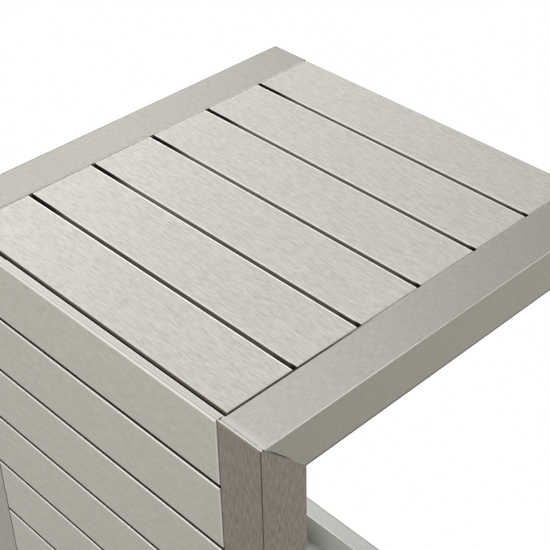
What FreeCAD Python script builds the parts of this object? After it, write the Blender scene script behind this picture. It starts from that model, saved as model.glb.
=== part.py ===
"""C-shaped patio side table: a mitred tube frame, slatted top and slatted side panel.

Frame: millimetres, +Z up, origin on the floor under the middle of the table.
X runs along the slats, Y runs from the slatted panel (near side) to the open side (far side).
"""

import FreeCAD, Part
import os
import Sketcher

doc = FreeCAD.newDocument("side_table")

# Driving dimensions, one spreadsheet row each
SIZES = {
    "table_width": 376,
    "table_depth": 377.6,
    "table_height": 614,
    "glide_height": 4,
    "tube_size": 40,
    "tube_wall": 2,
    "tube_radius": 1.0,
    "mitre_nose": 1.5,
    "mitre_gap": 0.5,
    "mitre_round": 0.4,
    "slat_width": 58,
    "slat_thickness": 6.5,
    "slat_wall": 1.4,
    "slat_radius": 1.2,
    "panel_proud": 0.3,
    "top_gap": 3.85,
    "panel_gap": 2.6,
    "top_seam": 0.6,
    "panel_seam": 0.5,
    "slat_drop": 0.45,
    "ledge_reach": 25,
    "ledge_drop": 20,
    "ledge_thickness": 2.5,
    "ledge_end_gap": 3,
    "cross_width": 20,
    "cross_wall": 2,
    "cap_flange": 2,
    "cap_round": 0.8,
    "cap_plug": 12,
    "cap_play": 0.2,
    "glide_diameter": 26,
    "glide_bevel": 1.5,
    "glide_stem": 9.9,
    "glide_stem_length": 10,
    "glide_hole": 10,
    "glide_inset": 30,
    "screw_diameter": 4,
    "screw_hole": 4.2,
    "screw_head": 7.5,
    "screw_head_height": 2.4,
    "screw_head_flat": 5,
    "screw_head_rim": 1.2,
    "screw_length": 7,
    "screw_tip": 1.5,
    "screw_spacing": 34,
    "screw_inset": 14,
}
TOP_SLATS = 6
PANEL_SLATS = 10

sheet = doc.addObject("Spreadsheet::Sheet", "sizes")
for row, (alias, value) in enumerate(SIZES.items(), start=1):
    sheet.set(f"A{row}", alias)
    sheet.set(f"B{row}", str(value))
    sheet.setAlias(f"B{row}", alias)
doc.recompute()

# Derived places, as expressions on the sheet
RAIL_X = "(sizes.table_width - sizes.tube_size) / 2"
INNER_X = "(sizes.table_width / 2 - sizes.tube_size)"
FAR_Y = "sizes.table_depth / 2"
PANEL_FACE_Y = "(-sizes.table_depth / 2)"
POST_FACE_Y = "(-sizes.table_depth / 2 + sizes.panel_proud)"
PANEL_BACK_Y = "(-sizes.table_depth / 2 + sizes.slat_thickness)"
SLAT_TOP_Z = "(sizes.table_height - sizes.slat_drop)"
SLAT_BACK_Z = "(sizes.table_height - sizes.slat_drop - sizes.slat_thickness)"
FRAME_HEIGHT = "(sizes.table_height - sizes.glide_height)"
RAIL_LENGTH = "(sizes.table_depth - sizes.panel_proud - sizes.cap_flange)"
FIRST_SLAT_Y = "(-sizes.table_depth / 2 + sizes.slat_thickness + sizes.top_gap)"
TOP_SLAT_LENGTH = "(sizes.table_width - 2 * sizes.tube_size - 2 * sizes.top_seam)"
PANEL_SLAT_LENGTH = "(sizes.table_width - 2 * sizes.tube_size - 2 * sizes.panel_seam)"
TOP_PITCH = "(sizes.slat_width + sizes.top_gap)"
PANEL_PITCH = "(sizes.slat_width + sizes.panel_gap)"
TOP_LEDGE_LENGTH = f"({FAR_Y} - {FIRST_SLAT_Y} - 2 * sizes.ledge_end_gap)"
PANEL_LEDGE_FOOT = "(sizes.glide_height + 2 * sizes.ledge_end_gap)"
PANEL_LEDGE_LENGTH = f"({SLAT_BACK_Z} - sizes.ledge_drop - sizes.ledge_end_gap - {PANEL_LEDGE_FOOT})"


def number(expression):
    """An expression on the sheet as a plain number."""
    return float(sheet.evalExpression(expression))


def new_body(label):
    """An empty body with its own label."""
    body = doc.addObject("PartDesign::Body", label)
    body.Label = label
    return body


def new_sketch(body, plane, name):
    """A sketch on one of the body's own origin planes: XY_Plane, XZ_Plane or YZ_Plane."""
    sketch = body.newObject("Sketcher::SketchObject", name)
    origin_plane = next(f for f in body.Origin.OriginFeatures if f.Role == plane)
    sketch.AttachmentSupport = [(origin_plane, "")]
    sketch.MapMode = "FlatFace"
    return sketch


def pin(sketch, line, end, axis, expression):
    """Ties one coordinate of a line's end point to an expression."""
    value = number(expression)
    if abs(value) < 1e-9:
        sketch.addConstraint(Sketcher.Constraint("PointOnObject", line, end, -2 if axis == "X" else -1))
        return
    kind = "Distance" + axis
    if value > 0:
        constraint = Sketcher.Constraint(kind, -1, 1, line, end, value)
    else:
        constraint = Sketcher.Constraint(kind, line, end, -1, 1, -value)
        expression = f"-({expression})"
    index = sketch.addConstraint(constraint)
    sketch.setExpression(f"Constraints[{index}]", expression)


def add_polygon(sketch, corners):
    """A closed outline through corners, each a pair of expressions."""
    points = [FreeCAD.Vector(number(x), number(y), 0) for x, y in corners]
    first = sketch.GeometryCount
    count = len(points)
    for i in range(count):
        sketch.addGeometry(Part.LineSegment(points[i], points[(i + 1) % count]))
    for i in range(count):
        following = first + (i + 1) % count
        sketch.addConstraint(Sketcher.Constraint("Coincident", first + i, 2, following, 1))
    for i, (x, y) in enumerate(corners):
        pin(sketch, first + i, 1, "X", x)
        pin(sketch, first + i, 1, "Y", y)


def add_rectangle(sketch, x0, y0, x1, y1):
    """An upright rectangle between two corners."""
    add_polygon(sketch, [(x0, y0), (x1, y0), (x1, y1), (x0, y1)])


def add_circle(sketch, x, y, diameter):
    """A circle at a place given by two expressions."""
    centre = FreeCAD.Vector(number(x), number(y), 0)
    circle = sketch.addGeometry(Part.Circle(centre, FreeCAD.Vector(0, 0, 1), number(diameter) / 2))
    pin(sketch, circle, 3, "X", x)
    pin(sketch, circle, 3, "Y", y)
    index = sketch.addConstraint(Sketcher.Constraint("Diameter", circle, number(diameter)))
    sketch.setExpression(f"Constraints[{index}]", diameter)


def pad(body, sketch, length, towards_back=False):
    """Extrudes a sketch by an expression."""
    feature = body.newObject("PartDesign::Pad", "Pad")
    feature.Profile = sketch
    feature.Reversed = towards_back
    feature.setExpression("Length", length)
    doc.recompute()
    return feature


def cut_through(body, sketch):
    """Cuts a sketch through the whole body, both ways, and checks that it removed something."""
    before = body.Shape.Volume
    feature = body.newObject("PartDesign::Pocket", "Pocket")
    feature.Profile = sketch
    feature.Type = "ThroughAll"
    feature.Midplane = True
    doc.recompute()
    if body.Shape.Volume > before - 1e-6:
        raise RuntimeError(f"{body.Label}: {sketch.Name} cut nothing")
    return feature


def cut_depth(body, sketch, depth, reversed_way):
    """Cuts a sketch to a depth on one side of its plane, and checks that it removed something."""
    before = body.Shape.Volume
    feature = body.newObject("PartDesign::Pocket", "Pocket")
    feature.Profile = sketch
    feature.Reversed = reversed_way
    feature.setExpression("Length", depth)
    doc.recompute()
    if body.Shape.Volume > before - 1e-6:
        raise RuntimeError(f"{body.Label}: {sketch.Name} cut nothing")
    return feature


def round_edges(body, wanted, radius):
    """Rounds the edges of the body's tip for which wanted(edge) is true."""
    base = body.Tip
    names = [f"Edge{i}" for i, edge in enumerate(base.Shape.Edges, start=1) if wanted(edge)]
    if not names:
        raise RuntimeError(f"{body.Label}: no edges to round")
    feature = body.newObject("PartDesign::Fillet", "Fillet")
    feature.Base = (base, names)
    feature.setExpression("Radius", radius)
    doc.recompute()


def place(body, x, y, z, axis=None, angle=0):
    """Puts a body at three expressions, turned about one axis through its own origin."""
    if axis is not None:
        body.Placement = FreeCAD.Placement(FreeCAD.Vector(), FreeCAD.Rotation(axis, angle))
    for name, expression in (("x", x), ("y", y), ("z", z)):
        body.setExpression(f"Placement.Base.{name}", expression)
    return body


def near(a, b):
    """True where two lengths agree."""
    return abs(a - b) < 1e-4


def is_outer_long_edge(edge, along, outer):
    """True for a straight edge along one axis whose other two coordinates are on the outside corners."""
    ends = [vertex.Point for vertex in edge.Vertexes]
    if len(ends) != 2:
        return False
    others = [axis for axis in range(3) if axis != along]
    return all(
        near(ends[0][axis], ends[1][axis]) and any(near(ends[0][axis], limit) for limit in outer[axis])
        for axis in others
    )


def is_end_edge(edge, limits):
    """True for an edge whose points all have the given coordinates, as {axis: value}."""
    points = [vertex.Point for vertex in edge.Vertexes]
    return len(points) == 2 and all(near(p[axis], value) for p in points for axis, value in limits.items())


# Frame tubes: hollow square sections sawn to mitres and welded inside.
# The seam starts behind the post's rounded nose, open by a hair, and closes towards the inner corner.
SEAM_POST = "sizes.mitre_nose"
SEAM_RAIL = "(sizes.mitre_nose + sizes.mitre_gap)"
HALF_TUBE = "sizes.tube_size / 2"
BORE_LOW = "sizes.tube_wall"
BORE_HIGH = "sizes.tube_size - sizes.tube_wall"
BORE_HALF = "(sizes.tube_size / 2 - sizes.tube_wall)"


def make_post(label, x):
    """An upright, mitred at both ends, with its near face at local y = 0."""
    body = new_body(label)
    section = new_sketch(body, "XY_Plane", "section")
    add_rectangle(section, f"-{HALF_TUBE}", "0", HALF_TUBE, "sizes.tube_size")
    add_rectangle(section, f"-{BORE_HALF}", BORE_LOW, BORE_HALF, BORE_HIGH)
    pad(body, section, FRAME_HEIGHT)
    half, width, height = number(HALF_TUBE), number("sizes.tube_size"), number(FRAME_HEIGHT)
    outer = {0: (-half, half), 1: (0, width)}
    round_edges(
        body,
        lambda edge: is_outer_long_edge(edge, 2, outer)
        or is_end_edge(edge, {1: 0, 2: 0})
        or is_end_edge(edge, {1: 0, 2: height}),
        "sizes.tube_radius",
    )
    upper = new_sketch(body, "YZ_Plane", "upper_mitre")
    top = FRAME_HEIGHT
    size = "sizes.tube_size"
    add_polygon(upper, [(SEAM_POST, top), (size, f"{top} - {size}"), (size, top)])
    cut_through(body, upper)
    lower = new_sketch(body, "YZ_Plane", "lower_mitre")
    add_polygon(lower, [(SEAM_POST, "0"), (size, "0"), (size, size)])
    cut_through(body, lower)
    return place(body, x, POST_FACE_Y, "sizes.glide_height")


def make_rail(label, x, on_floor):
    """A rail along Y, mitred at its near end. A floor rail is the same tube turned over, with glide holes."""
    body = new_body(label)
    section = new_sketch(body, "XZ_Plane", "section")
    add_rectangle(section, f"-{HALF_TUBE}", f"-{HALF_TUBE}", HALF_TUBE, HALF_TUBE)
    add_rectangle(section, f"-{BORE_HALF}", f"-{BORE_HALF}", BORE_HALF, BORE_HALF)
    pad(body, section, RAIL_LENGTH, towards_back=True)
    half = number(HALF_TUBE)
    outer = {0: (-half, half), 2: (-half, half)}
    round_edges(body, lambda edge: is_outer_long_edge(edge, 1, outer), "sizes.tube_radius")
    mitre = new_sketch(body, "YZ_Plane", "mitre")
    low = f"-{HALF_TUBE}"
    add_polygon(mitre, [("0", HALF_TUBE), ("0", low), ("sizes.tube_size", low), (SEAM_RAIL, HALF_TUBE)])
    cut_through(body, mitre)
    seam = number(SEAM_RAIL)
    round_edges(body, lambda edge: is_end_edge(edge, {1: seam, 2: half}), "sizes.mitre_round")
    height = f"sizes.table_height - {HALF_TUBE}"
    if not on_floor:
        return place(body, x, POST_FACE_Y, height)
    holes = new_sketch(body, "XY_Plane", "glide_holes")
    add_circle(holes, "0", "sizes.glide_inset", "sizes.glide_hole")
    add_circle(holes, "0", f"{RAIL_LENGTH} - sizes.glide_inset", "sizes.glide_hole")
    cut_depth(body, holes, "sizes.tube_size", True)
    height = f"sizes.glide_height + {HALF_TUBE}"
    return place(body, x, POST_FACE_Y, height, FreeCAD.Vector(0, 1, 0), 180)


def make_cross_rail(label):
    """The flat tube that ties the two floor rails together at the open side."""
    body = new_body(label)
    section = new_sketch(body, "YZ_Plane", "section")
    add_rectangle(section, "0", "0", "sizes.cross_width", "sizes.tube_size")
    add_rectangle(
        section, "sizes.cross_wall", "sizes.cross_wall", "sizes.cross_width - sizes.cross_wall",
        "sizes.tube_size - sizes.cross_wall",
    )
    pad(body, section, "sizes.table_width - 2 * sizes.tube_size")
    outer = {1: (0, number("sizes.cross_width")), 2: (0, number("sizes.tube_size"))}
    round_edges(body, lambda edge: is_outer_long_edge(edge, 0, outer), "sizes.tube_radius")
    return place(body, f"-{INNER_X}", f"{FAR_Y} - sizes.cross_width", "sizes.glide_height")


def make_end_cap(label, x, z):
    """A push-in cap: a square flange outside the tube and a hollow plug inside it."""
    body = new_body(label)
    flange = new_sketch(body, "XZ_Plane", "flange")
    add_rectangle(flange, f"-{HALF_TUBE}", f"-{HALF_TUBE}", HALF_TUBE, HALF_TUBE)
    pad(body, flange, "sizes.cap_flange", towards_back=True)
    half, thickness = number(HALF_TUBE), number("sizes.cap_flange")
    outer = {0: (-half, half), 2: (-half, half)}
    round_edges(body, lambda edge: is_outer_long_edge(edge, 1, outer), "sizes.tube_radius")
    round_edges(
        body,
        lambda edge: all(near(vertex.Point[1], thickness) for vertex in edge.Vertexes),
        "sizes.cap_round",
    )
    plug = new_sketch(body, "XZ_Plane", "plug")
    reach = f"({BORE_HALF} - sizes.cap_play)"
    inside = f"({reach} - sizes.tube_wall)"
    add_rectangle(plug, f"-{reach}", f"-{reach}", reach, reach)
    add_rectangle(plug, f"-{inside}", f"-{inside}", inside, inside)
    pad(body, plug, "sizes.cap_plug")
    return place(body, x, f"{FAR_Y} - sizes.cap_flange", z)


def make_glide(label, x, y):
    """A turned plastic foot with a stem that pushes into the floor rail."""
    body = new_body(label)
    profile = new_sketch(body, "XZ_Plane", "profile")
    rim, stem = "sizes.glide_diameter / 2", "sizes.glide_stem / 2"
    top = "sizes.glide_height"
    add_polygon(
        profile,
        [
            ("0", "0"),
            (f"{rim} - sizes.glide_bevel", "0"),
            (rim, "sizes.glide_bevel"),
            (rim, top),
            (stem, top),
            (stem, f"{top} + sizes.glide_stem_length"),
            ("0", f"{top} + sizes.glide_stem_length"),
        ],
    )
    feature = body.newObject("PartDesign::Revolution", "Revolution")
    feature.Profile = profile
    feature.ReferenceAxis = (profile, ["V_Axis"])
    feature.Angle = 360
    doc.recompute()
    return place(body, x, y, "0")


# Slats: one hollow extrusion for the top and the panel, with pilot holes in its back wall
def make_slat(label, length, hole_rows=("-", "")):
    """A slat with its show face at local z = 0, its back below, and its middle at the local origin.

    hole_rows gives the sign of local y for each row of pilot holes.
    """
    body = new_body(label)
    section = new_sketch(body, "YZ_Plane", "section")
    half = "sizes.slat_width / 2"
    deep = "sizes.slat_thickness"
    wall = "sizes.slat_wall"
    add_rectangle(section, f"-{half}", f"-{deep}", half, "0")
    chamber = f"(sizes.slat_width - 4 * {wall}) / 3"
    for index in range(3):
        low = f"-{half} + {wall} + {index} * ({chamber} + {wall})"
        add_rectangle(section, low, f"-{deep} + {wall}", f"{low} + {chamber}", f"-{wall}")
    feature = pad(body, section, length)
    feature.Midplane = True
    doc.recompute()
    reach, edge_y, back = number(length) / 2, number(half), -number(deep)
    outer = {1: (-edge_y, edge_y), 2: (0, back)}
    round_edges(
        body,
        lambda edge: is_outer_long_edge(edge, 0, outer)
        or is_end_edge(edge, {0: reach, 2: 0})
        or is_end_edge(edge, {0: -reach, 2: 0}),
        "sizes.slat_radius",
    )
    holes = new_sketch(body, "XY_Plane", "pilot_holes")
    for side in ("-", ""):
        for row in hole_rows:
            x = f"{side}({length} / 2 - sizes.screw_inset)"
            add_circle(holes, x, f"{row}sizes.screw_spacing / 2", "sizes.screw_hole")
    holes.setExpression("AttachmentOffset.Base.z", f"-{deep}")
    doc.recompute()
    cut_depth(body, holes, f"2 * {wall}", True)
    return body


def make_ledge(label, side, length, hole_places):
    """An angle bar along local Y: a leg that carries the slats and a leg welded to the tube.

    side is 1 for the bar on the +X tube and -1 for the one on the -X tube.
    The tube's face is at local x = 0 and the carrying face at local z = 0.
    """
    body = new_body(label)
    section = new_sketch(body, "XZ_Plane", "section")
    way = "-" if side > 0 else ""
    thick, reach, drop = "sizes.ledge_thickness", "sizes.ledge_reach", "sizes.ledge_drop"
    add_polygon(
        section,
        [
            ("0", "0"),
            (f"{way}{reach}", "0"),
            (f"{way}{reach}", f"-{thick}"),
            (f"{way}{thick}", f"-{thick}"),
            (f"{way}{thick}", f"-{drop}"),
            ("0", f"-{drop}"),
        ],
    )
    pad(body, section, length, towards_back=True)
    holes = new_sketch(body, "XY_Plane", "screw_holes")
    for x, y in hole_places:
        add_circle(holes, f"{way}({x})", y, "sizes.screw_hole")
    cut_depth(body, holes, "2 * sizes.ledge_thickness", False)
    return body


def make_screw(label):
    """A pan head screw, pointing up, with the underside of its head at local z = 0."""
    body = new_body(label)
    profile = new_sketch(body, "XZ_Plane", "profile")
    shank, head = "sizes.screw_diameter / 2", "sizes.screw_head / 2"
    add_polygon(
        profile,
        [
            ("0", "-sizes.screw_head_height"),
            ("sizes.screw_head_flat / 2", "-sizes.screw_head_height"),
            (head, "-sizes.screw_head_rim"),
            (head, "0"),
            (shank, "0"),
            (shank, "sizes.screw_length - sizes.screw_tip"),
            ("0", "sizes.screw_length"),
        ],
    )
    feature = body.newObject("PartDesign::Revolution", "Revolution")
    feature.Profile = profile
    feature.ReferenceAxis = (profile, ["V_Axis"])
    feature.Angle = 360
    doc.recompute()
    return body


def make_screw_group(label, master, placements):
    """All the screws of one area as one node of separate solids."""
    solids = []
    for placement in placements:
        solid = master.Shape.Solids[0].copy()
        solid.Placement = placement.multiply(solid.Placement)
        solids.append(solid)
    group = doc.addObject("Part::Feature", label)
    group.Label = label
    group.Shape = Part.makeCompound(solids)
    return group


def slat_centre(start, index, pitch, direction):
    """The middle of a slat, counted from one edge of the run."""
    return f"{start} {direction} (sizes.slat_width / 2 + {index} * {pitch})"


pieces = []
SIDES = {"left": -1, "right": 1}

# The two C-shaped side frames and what closes and carries them
for name, side in SIDES.items():
    rail_x = f"{side} * {RAIL_X}"
    pieces.append(make_post(f"{name}_post", rail_x))
    pieces.append(make_rail(f"{name}_top_rail", rail_x, on_floor=False))
    pieces.append(make_rail(f"{name}_floor_rail", rail_x, on_floor=True))
    pieces.append(make_end_cap(f"{name}_top_rail_cap", rail_x, f"sizes.table_height - {HALF_TUBE}"))
    pieces.append(make_end_cap(f"{name}_floor_rail_cap", rail_x, f"sizes.glide_height + {HALF_TUBE}"))
    pieces.append(make_glide(f"{name}_near_glide", rail_x, f"{POST_FACE_Y} + sizes.glide_inset"))
    far_glide_y = f"{POST_FACE_Y} + {RAIL_LENGTH} - sizes.glide_inset"
    pieces.append(make_glide(f"{name}_far_glide", rail_x, far_glide_y))
pieces.append(make_cross_rail("floor_cross_rail"))

# Slats of the top, from the panel to the open side
for index in range(TOP_SLATS):
    slat = make_slat(f"top_slat_{index + 1}", TOP_SLAT_LENGTH)
    pieces.append(place(slat, "0", slat_centre(FIRST_SLAT_Y, index, TOP_PITCH, "+"), SLAT_TOP_Z))

# Slats of the side panel, from the top down; the first has only its lower holes, where the angle bar reaches
for index in range(PANEL_SLATS):
    hole_rows = ("-",) if index == 0 else ("-", "")
    slat = make_slat(f"panel_slat_{index + 1}", PANEL_SLAT_LENGTH, hole_rows)
    height = slat_centre(SLAT_TOP_Z, index, PANEL_PITCH, "-")
    pieces.append(place(slat, "0", PANEL_FACE_Y, height, FreeCAD.Vector(1, 0, 0), 90))

# Angle bars under the top slats and behind the panel slats
TOP_HOLE_X = "sizes.screw_inset + sizes.top_seam"
PANEL_HOLE_X = "sizes.screw_inset + sizes.panel_seam"
EDGE_OFFSETS = ("- sizes.screw_spacing / 2", "+ sizes.screw_spacing / 2")
TOP_LEDGE_NEAR = f"({FIRST_SLAT_Y} + sizes.ledge_end_gap)"
top_hole_ys = [
    f"{slat_centre(FIRST_SLAT_Y, index, TOP_PITCH, '+')} {offset}"
    for index in range(TOP_SLATS)
    for offset in EDGE_OFFSETS
]
panel_hole_zs = [
    f"{slat_centre(SLAT_TOP_Z, index, PANEL_PITCH, '-')} {offset}"
    for index in range(PANEL_SLATS)
    for offset in EDGE_OFFSETS
]
panel_ledge_top = number(f"{PANEL_LEDGE_FOOT} + {PANEL_LEDGE_LENGTH}")
screw_margin = number("sizes.screw_head")
panel_hole_zs = [z for z in panel_hole_zs if number(z) < panel_ledge_top - screw_margin]
for name, side in SIDES.items():
    places = [(TOP_HOLE_X, f"{y} - {TOP_LEDGE_NEAR}") for y in top_hole_ys]
    ledge = make_ledge(f"{name}_top_ledge", side, TOP_LEDGE_LENGTH, places)
    pieces.append(place(ledge, f"{side} * {INNER_X}", TOP_LEDGE_NEAR, SLAT_BACK_Z))
    places = [(PANEL_HOLE_X, f"{z} - {PANEL_LEDGE_FOOT}") for z in panel_hole_zs]
    ledge = make_ledge(f"{name}_panel_ledge", side, PANEL_LEDGE_LENGTH, places)
    turn = FreeCAD.Vector(1, 0, 0)
    pieces.append(place(ledge, f"{side} * {INNER_X}", PANEL_BACK_Y, PANEL_LEDGE_FOOT, turn, 90))

# Screws, driven from inside the table through the angle bars into the slats
screw = make_screw("slat_screw")
upright = FreeCAD.Rotation()
forward = FreeCAD.Rotation(FreeCAD.Vector(1, 0, 0), 90)
top_head_z = number(f"{SLAT_BACK_Z} - sizes.ledge_thickness")
panel_head_y = number(f"{PANEL_BACK_Y} + sizes.ledge_thickness")
top_screw_x = number(f"{INNER_X} - ({TOP_HOLE_X})")
panel_screw_x = number(f"{INNER_X} - ({PANEL_HOLE_X})")
top_screws = [
    FreeCAD.Placement(FreeCAD.Vector(side * top_screw_x, number(y), top_head_z), upright)
    for side in SIDES.values()
    for y in top_hole_ys
]
panel_screws = [
    FreeCAD.Placement(FreeCAD.Vector(side * panel_screw_x, panel_head_y, number(z)), forward)
    for side in SIDES.values()
    for z in panel_hole_zs
]
pieces.append(make_screw_group("top_slat_screws", screw, top_screws))
pieces.append(make_screw_group("panel_slat_screws", screw, panel_screws))

doc.recompute()
for item in doc.Objects:
    if "Invalid" in item.State or "Error" in item.State:
        raise RuntimeError(f"{item.Label} failed: {item.State}")
os.makedirs("parts", exist_ok=True)
for piece in pieces:
    if piece.Shape.isNull() or not piece.Shape.isValid():
        raise RuntimeError(f"{piece.Label} has no valid shape")
    piece.Shape.exportStep(f"parts/{piece.Label}.step")
    box = piece.Shape.BoundBox
    print(
        f"{piece.Label}: {len(piece.Shape.Solids)} solid, {piece.Shape.Volume / 1000:.2f} cm3, "
        f"x {box.XMin:.2f} {box.XMax:.2f}, y {box.YMin:.2f} {box.YMax:.2f}, z {box.ZMin:.2f} {box.ZMax:.2f}"
    )
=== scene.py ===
# %% [markdown]
# # A slatted side table in brushed aluminium
#
# The table is a C of square aluminium tube: two upright posts carry two top rails over a pair of
# floor rails, so that the open side slides over a seat. Slats of flat aluminium tube close the top
# and the side. The CAD frame already has every piece in its place, so this lesson is about what the
# eye sees: the direction of the brushing, the hardware underneath, and the light that shows them.

# %% Load the frame
import math

import bmesh
import bpy
from mathutils import Matrix, Vector


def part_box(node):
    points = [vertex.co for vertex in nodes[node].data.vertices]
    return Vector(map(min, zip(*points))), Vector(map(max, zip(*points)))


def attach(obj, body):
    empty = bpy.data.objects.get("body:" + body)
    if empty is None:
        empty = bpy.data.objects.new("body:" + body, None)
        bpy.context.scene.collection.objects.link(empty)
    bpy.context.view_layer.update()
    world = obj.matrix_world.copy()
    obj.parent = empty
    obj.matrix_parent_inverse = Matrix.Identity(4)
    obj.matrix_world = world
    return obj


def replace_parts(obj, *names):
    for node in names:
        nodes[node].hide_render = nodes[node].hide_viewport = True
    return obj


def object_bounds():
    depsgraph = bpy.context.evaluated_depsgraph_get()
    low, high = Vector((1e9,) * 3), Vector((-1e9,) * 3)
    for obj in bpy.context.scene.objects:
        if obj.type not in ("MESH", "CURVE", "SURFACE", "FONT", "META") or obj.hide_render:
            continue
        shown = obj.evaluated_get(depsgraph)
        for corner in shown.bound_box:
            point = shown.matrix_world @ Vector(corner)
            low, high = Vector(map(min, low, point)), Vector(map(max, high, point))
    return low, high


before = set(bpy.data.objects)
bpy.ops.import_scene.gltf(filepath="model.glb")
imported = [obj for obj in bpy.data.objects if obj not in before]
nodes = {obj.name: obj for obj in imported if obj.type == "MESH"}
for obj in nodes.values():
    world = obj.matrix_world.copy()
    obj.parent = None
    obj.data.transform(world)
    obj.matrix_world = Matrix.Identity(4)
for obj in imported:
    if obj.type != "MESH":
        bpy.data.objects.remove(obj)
cad_low, cad_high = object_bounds()
MM = 0.001
print("CAD nodes:", len(nodes), "size in mm:", [round(side / MM, 1) for side in cad_high - cad_low])

# %% [markdown]
# ## The camera
#
# The picture looks down on the near top corner, from about the eye height of a seated person. Where
# the edges of the table run in the picture gives the camera's place, turn and lens, because the sizes
# of the table are known. A camera fitted that way puts every edge within a pixel of the picture's.

# %% Set the camera
CAMERA_PLACE_MM = (617.83, -579.57, 1186.35)
CAMERA_TURN_DEGREES = (53.004, 0.980, 45.875)
CAMERA_LENS_MM = 87.045
CAMERA_SENSOR_MM = 36.0

camera_data = bpy.data.cameras.new("camera")
camera_data.sensor_width = CAMERA_SENSOR_MM
camera_data.lens = CAMERA_LENS_MM
camera = bpy.data.objects.new("camera", camera_data)
camera.location = Vector(CAMERA_PLACE_MM) * MM
camera.rotation_euler = [math.radians(angle) for angle in CAMERA_TURN_DEGREES]
bpy.context.scene.collection.objects.link(camera)
bpy.context.scene.camera = camera
bpy.context.scene.view_settings.view_transform = "Standard"
print("camera at", [round(value, 3) for value in camera.location], "lens", camera_data.lens)

# %% [markdown]
# ## Helpers for materials
#
# Colours are written as a screen shows them, in sRGB hex, and Blender's sockets hold linear light,
# so one function turns the first into the second. Another adds a node, sets it, and links it, and
# with it a material reads from top to bottom like a recipe.

# %% Material helpers
def linear(hex_colour):
    """The linear RGBA of an sRGB hex colour."""
    channels = [int(hex_colour[start:start + 2], 16) / 255 for start in (1, 3, 5)]
    bent = [c / 12.92 if c <= 0.04045 else ((c + 0.055) / 1.055) ** 2.4 for c in channels]
    return (*bent, 1.0)


def add_node(tree, kind, inputs=None, **settings):
    """Adds a node with its settings. An input is a value, or another node's output to link."""
    node = tree.nodes.new(kind)
    for name, value in settings.items():
        setattr(node, name, value)
    for name, value in (inputs or {}).items():
        if isinstance(value, bpy.types.NodeSocket):
            tree.links.new(value, node.inputs[name])
        else:
            node.inputs[name].default_value = value
    return node


def new_material(name):
    """An empty node material, and its tree."""
    material = bpy.data.materials.new(name)
    material.use_nodes = True
    material.node_tree.nodes.clear()
    return material, material.node_tree


def dress(names, material):
    """Gives a finish to CAD nodes, by their material slots."""
    for name in names:
        for slot in nodes[name].material_slots:
            slot.material = material
    print(material.name, "on", len(names), "nodes")


# The colour sockets of a Mix node share their names with its number sockets, so they go by place.
MIX_COLOUR_A, MIX_COLOUR_B, MIX_COLOUR_OUT = 6, 7, 2
print("a screen's mid grey is", round(linear("#808080")[0], 3), "in linear light")

# %% [markdown]
# ## Brushed aluminium
#
# The tubes and slats are aluminium that ran under an abrasive belt along their length, then got a
# thin clear anodised coat. The belt leaves hairlines: short, fine grooves, all one way. They show in
# two ways. Each hairline is a little lighter or darker than its neighbour, and all of them together
# spread a reflection across the grooves and hardly along them. The shader's anisotropy does the
# second, turned so that it spreads across the groove, and a noise pulled long does the first. A
# picture of scratches could do that too, but a noise has no seam and never repeats.
#
# The belt burnishes the rounded edges, which end up lighter, and highlights are painted on them as
# well; the narrow sides of the slats, in the gaps, are painted dark as shade. So the recipe takes
# layers: a colour, and the masks that say where it lies. A mask reads the surface normal, which leaves
# the axes on a rounded edge, or the distance from a line, for the strips along the edges.

# %% Masks for edges, sides and strips
RIGHT, BACK, UP = (1.0, 0.0, 0.0), (0.0, 1.0, 0.0), (0.0, 0.0, 1.0)
LEFT, FRONT, DOWN = (-1.0, 0.0, 0.0), (0.0, -1.0, 0.0), (0.0, 0.0, -1.0)
FAR_APART_MM = 2000.0
# A strip starts this much early, so that a face on its line is inside it.
EARLY_MM = 0.05


def edge_mask(tree, texture, start=0.995, full=0.93):
    """Rises from 0 on a flat face to 1 on a rounded edge, where the normal lies between the axes."""
    size = add_node(tree, "ShaderNodeVectorMath", {0: texture.outputs["Normal"]}, operation="ABSOLUTE")
    facing = add_node(tree, "ShaderNodeSeparateXYZ", {"Vector": size.outputs["Vector"]})
    flat = facing.outputs["X"]
    for axis in "YZ":
        flat = add_node(tree, "ShaderNodeMath", {
            0: flat, 1: facing.outputs[axis]}, operation="MAXIMUM").outputs["Value"]
    return add_node(tree, "ShaderNodeMapRange", {
        "Value": flat, "From Min": start, "From Max": full}).outputs["Result"]


def facing_mask(tree, texture, direction, start, full):
    """Rises from 0 to 1 as the normal's part along a direction goes from start to full."""
    facing = add_node(tree, "ShaderNodeVectorMath", {
        0: texture.outputs["Normal"], 1: direction}, operation="DOT_PRODUCT")
    return add_node(tree, "ShaderNodeMapRange", {
        "Value": facing.outputs["Value"], "From Min": start, "From Max": full}).outputs["Result"]


def strip_mask(tree, texture, direction, line_mm, width_mm, fade_mm, pitch_mm=FAR_APART_MM):
    """1 on a strip that starts line_mm along a direction, and on each other strip of its row."""
    along = add_node(tree, "ShaderNodeVectorMath", {
        0: texture.outputs["Object"], 1: direction}, operation="DOT_PRODUCT")
    past_line = add_node(tree, "ShaderNodeMath", {
        0: along.outputs["Value"], 1: (line_mm - EARLY_MM) * MM}, operation="SUBTRACT")
    distance = add_node(tree, "ShaderNodeMath", {
        0: past_line.outputs["Value"], 1: pitch_mm * MM}, operation="FLOORED_MODULO")
    return add_node(tree, "ShaderNodeMapRange", {
        "Value": distance.outputs["Value"], "From Min": (width_mm + fade_mm) * MM,
        "From Max": width_mm * MM}).outputs["Result"]


def shared_mask(tree, texture, *masks):
    """1 only where every one of some masks is 1."""
    cover = 1.0
    for make_mask, *details in masks:
        cover = add_node(tree, "ShaderNodeMath", {
            0: cover, 1: make_mask(tree, texture, *details)}, operation="MINIMUM").outputs["Value"]
    return cover


print("masks:", [mask.__name__ for mask in (edge_mask, facing_mask, strip_mask, shared_mask)])

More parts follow.
